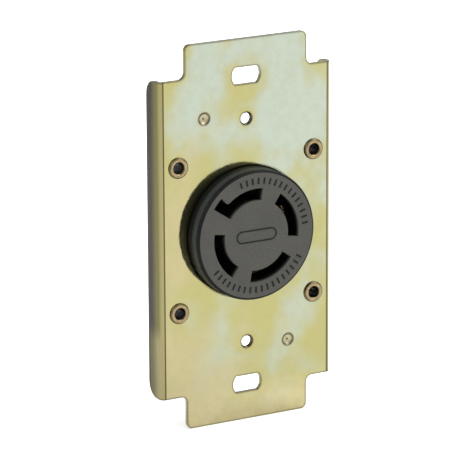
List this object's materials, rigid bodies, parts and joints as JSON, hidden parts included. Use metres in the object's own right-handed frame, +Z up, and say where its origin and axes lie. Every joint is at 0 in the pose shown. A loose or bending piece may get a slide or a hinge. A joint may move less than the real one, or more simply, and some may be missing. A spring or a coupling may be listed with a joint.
{
  "type": "flush locking power receptacle",
  "caption": "Flush locking power receptacle: black phenolic nose with curved blade slots, riveted to a yellow zinc-plated steel mounting plate, with screw-clamp wire terminals at the rear.",
  "frame": {"origin": "on the nose axis, in the plane of the mounting plate's rear face, midway between the two box-screw slots", "axes": "-Y is the front, the way the nose points; +Z is up, along the plate; +X is to the right seen from the front"},
  "size_m": [0.0512, 0.0269, 0.103],
  "materials": {
    "zinc_plate": "satin",
    "rivet_brass": "satin",
    "phenolic_front": "satin",
    "phenolic_rear": "satin",
    "contact_brass": "satin",
    "leaf_bronze": "satin",
    "terminal_screw_steel": "satin",
    "clamp_steel": "satin",
    "assembly_screw_steel": "satin"
  },
  "bodies": {
    "receptacle": {"mounting_plate": "zinc_plate", "corner_rivet_upper_left": "rivet_brass", "corner_rivet_upper_right": "rivet_brass", "corner_rivet_lower_left": "rivet_brass", "corner_rivet_lower_right": "rivet_brass", "front_housing": "phenolic_front", "rear_housing": "phenolic_rear", "earth_contact": "contact_brass", "line_contact_upper_right": "contact_brass", "line_contact_lower_right": "contact_brass", "line_contact_lower_left": "contact_brass", "earth_strap": "contact_brass", "strap_rivet": "rivet_brass", "assembly_screw_upper": "assembly_screw_steel", "assembly_screw_lower": "assembly_screw_steel"},
    "leaf_upper_left": {"earth_leaf": "leaf_bronze"},
    "screw_upper_left": {"terminal_screw_upper_left": "terminal_screw_steel"},
    "clamp_upper_left": {"wire_clamp_upper_left": "clamp_steel"},
    "leaf_upper_right": {"line_leaf_upper_right": "leaf_bronze"},
    "screw_upper_right": {"terminal_screw_upper_right": "terminal_screw_steel"},
    "clamp_upper_right": {"wire_clamp_upper_right": "clamp_steel"},
    "leaf_lower_right": {"line_leaf_lower_right": "leaf_bronze"},
    "screw_lower_right": {"terminal_screw_lower_right": "terminal_screw_steel"},
    "clamp_lower_right": {"wire_clamp_lower_right": "clamp_steel"},
    "leaf_lower_left": {"line_leaf_lower_left": "leaf_bronze"},
    "screw_lower_left": {"terminal_screw_lower_left": "terminal_screw_steel"},
    "clamp_lower_left": {"wire_clamp_lower_left": "clamp_steel"}
  },
  "joints": [
    {"name": "leaf_flex_upper_left", "type": "hinge", "parent": "receptacle", "child": "leaf_upper_left", "pos_m": [-0.00312, 0.0089, 0.01164], "axis": [-0.9659, 0, -0.2588], "range_deg": [0, 3], "stiffness_Nm_per_rad": 2},
    {"name": "screw_turn_upper_left", "type": "hinge", "parent": "receptacle", "child": "screw_upper_left", "pos_m": [-0.0086, 0.0142, 0.018], "axis": [0, 0, -1], "range_deg": [0, 1800]},
    {"name": "clamp_travel_upper_left", "type": "slide", "parent": "receptacle", "child": "clamp_upper_left", "axis": [0, 0, 1], "range_m": [0, 0.0035]},
    {"name": "leaf_flex_upper_right", "type": "hinge", "parent": "receptacle", "child": "leaf_upper_right", "pos_m": [0.01164, 0.0089, 0.00312], "axis": [-0.2588, 0, 0.9659], "range_deg": [0, 3], "stiffness_Nm_per_rad": 2},
    {"name": "screw_turn_upper_right", "type": "hinge", "parent": "receptacle", "child": "screw_upper_right", "pos_m": [0.0086, 0.0142, 0.018], "axis": [0, 0, -1], "range_deg": [0, 1800]},
    {"name": "clamp_travel_upper_right", "type": "slide", "parent": "receptacle", "child": "clamp_upper_right", "axis": [0, 0, 1], "range_m": [0, 0.0035]},
    {"name": "leaf_flex_lower_right", "type": "hinge", "parent": "receptacle", "child": "leaf_lower_right", "pos_m": [0.00312, 0.0089, -0.01164], "axis": [0.9659, 0, 0.2588], "range_deg": [0, 3], "stiffness_Nm_per_rad": 2},
    {"name": "screw_turn_lower_right", "type": "hinge", "parent": "receptacle", "child": "screw_lower_right", "pos_m": [0.0086, 0.0142, -0.018], "axis": [0, 0, 1], "range_deg": [0, 1800]},
    {"name": "clamp_travel_lower_right", "type": "slide", "parent": "receptacle", "child": "clamp_lower_right", "axis": [0, 0, -1], "range_m": [0, 0.0035]},
    {"name": "leaf_flex_lower_left", "type": "hinge", "parent": "receptacle", "child": "leaf_lower_left", "pos_m": [-0.01164, 0.0089, -0.00312], "axis": [0.2588, 0, -0.9659], "range_deg": [0, 3], "stiffness_Nm_per_rad": 2},
    {"name": "screw_turn_lower_left", "type": "hinge", "parent": "receptacle", "child": "screw_lower_left", "pos_m": [-0.0086, 0.0142, -0.018], "axis": [0, 0, 1], "range_deg": [0, 1800]},
    {"name": "clamp_travel_lower_left", "type": "slide", "parent": "receptacle", "child": "clamp_lower_left", "axis": [0, 0, -1], "range_m": [0, 0.0035]}
  ],
  "couplings": [
    {"joint": "screw_turn_upper_left", "follows": "clamp_travel_upper_left", "rad_per_m": 8976},
    {"joint": "screw_turn_upper_right", "follows": "clamp_travel_upper_right", "rad_per_m": 8976},
    {"joint": "screw_turn_lower_right", "follows": "clamp_travel_lower_right", "rad_per_m": 8976},
    {"joint": "screw_turn_lower_left", "follows": "clamp_travel_lower_left", "rad_per_m": 8976}
  ]
}
